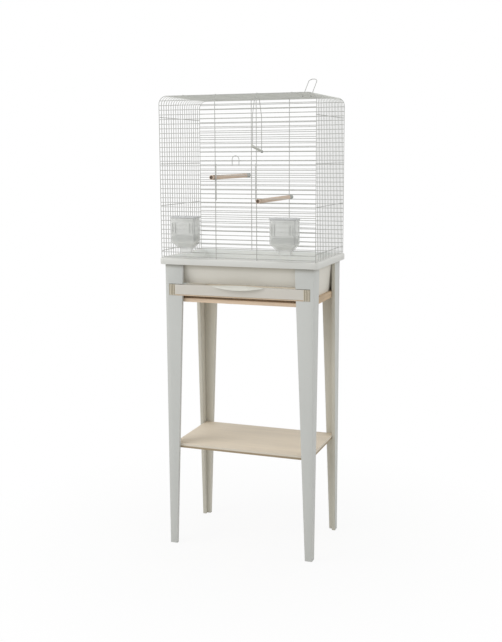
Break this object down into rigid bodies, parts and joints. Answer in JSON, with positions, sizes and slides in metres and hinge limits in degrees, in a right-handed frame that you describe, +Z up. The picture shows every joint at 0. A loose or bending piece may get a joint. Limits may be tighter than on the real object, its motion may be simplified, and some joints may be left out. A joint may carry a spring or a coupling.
{
  "type": "bird cage on a stand",
  "caption": "Rectangular wire bird cage on an open wooden stand with tapered legs, a shelf and a slide-out drawer under the cage's base.",
  "frame": {"origin": "on the floor, under the middle of the object's box", "axes": "+Z up, the front with the door, feeders and drawer faces -Y, +X to the viewer's right"},
  "size_m": [0.452, 0.3222, 1.3064],
  "materials": {
    "white_wood": "satin white lacquer",
    "plywood": "pale clear-coated plywood",
    "rail_wood": "raw pine",
    "perch_wood": "raw round dowel",
    "white_plastic": "moulded, satin",
    "clear_plastic": "frosted clear",
    "grey_plastic": "moulded, satin",
    "white_wire": "white coated steel wire"
  },
  "bodies": {
    "stand": {"leg_front_left_wide_board": "white_wood", "leg_front_left_side_board": "white_wood", "leg_front_right_wide_board": "white_wood", "leg_front_right_side_board": "white_wood", "leg_back_left_wide_board": "white_wood", "leg_back_left_side_board": "white_wood", "leg_back_right_wide_board": "white_wood", "leg_back_right_side_board": "white_wood", "shelf": "plywood", "shelf_dowel_front_left": "rail_wood", "shelf_dowel_front_right": "rail_wood", "shelf_dowel_back_left": "rail_wood", "shelf_dowel_back_right": "rail_wood", "left_rail": "rail_wood", "right_rail": "rail_wood", "front_rail": "rail_wood", "back_rail": "rail_wood", "base": "white_plastic", "front_panel_lower_rows": "white_wire", "front_panel_left_rows": "white_wire", "front_panel_right_rows": "white_wire", "front_panel_upper_rows": "white_wire", "front_panel_left_upright": "white_wire", "front_panel_right_upright": "white_wire", "back_panel": "white_wire", "back_panel_left_upright": "white_wire", "back_panel_right_upright": "white_wire", "left_side_panel": "white_wire", "right_side_panel": "white_wire", "roof_panel": "white_wire", "left_perch": "perch_wood", "left_perch_cap": "grey_plastic", "right_perch": "perch_wood", "right_perch_cap": "grey_plastic", "corner_clip": "white_plastic"},
    "drawer": {"drawer_floor": "plywood", "drawer_front": "white_wood", "drawer_left_side": "white_wood", "drawer_right_side": "white_wood", "drawer_back": "white_wood", "drawer_pull": "white_wood"},
    "sliding_door": {"door": "white_wire", "door_finger_loop": "white_wire"},
    "swing": {"swing_front_wire": "white_wire", "swing_back_wire": "white_wire", "swing_rod": "grey_plastic"},
    "bail": {"hanging_loop": "white_wire"},
    "left_feeder": {"left_feeder_cup": "clear_plastic"},
    "left_lid": {"left_feeder_lid": "clear_plastic"},
    "right_feeder": {"right_feeder_cup": "clear_plastic"},
    "right_lid": {"right_feeder_lid": "clear_plastic"}
  },
  "joints": [
    {"name": "drawer_slide", "type": "slide", "parent": "stand", "child": "drawer", "axis": [0, -1, 0], "range_m": [0, 0.2]},
    {"name": "door_slide", "type": "slide", "parent": "stand", "child": "sliding_door", "axis": [0, 0, 1], "range_m": [0, 0.1]},
    {"name": "swing_hinge", "type": "hinge", "parent": "stand", "child": "swing", "pos_m": [0.01, 0.01915, 1.258], "axis": [0, 1, 0], "range_deg": [-35, 35]},
    {"name": "bail_hinge", "type": "hinge", "parent": "stand", "child": "bail", "pos_m": [0.1515, 0.01915, 1.258], "axis": [1, 0, 0], "range_deg": [-20, 134]},
    {"name": "left_feeder_lift", "type": "slide", "parent": "stand", "child": "left_feeder", "axis": [0, 0, 1], "range_m": [0, 0.0075]},
    {"name": "left_lid_lift", "type": "slide", "parent": "left_feeder", "child": "left_lid", "axis": [0, 0, 1], "range_m": [0, 0.03]},
    {"name": "right_feeder_lift", "type": "slide", "parent": "stand", "child": "right_feeder", "axis": [0, 0, 1], "range_m": [0, 0.0075]},
    {"name": "right_lid_lift", "type": "slide", "parent": "right_feeder", "child": "right_lid", "axis": [0, 0, 1], "range_m": [0, 0.03]}
  ]
}
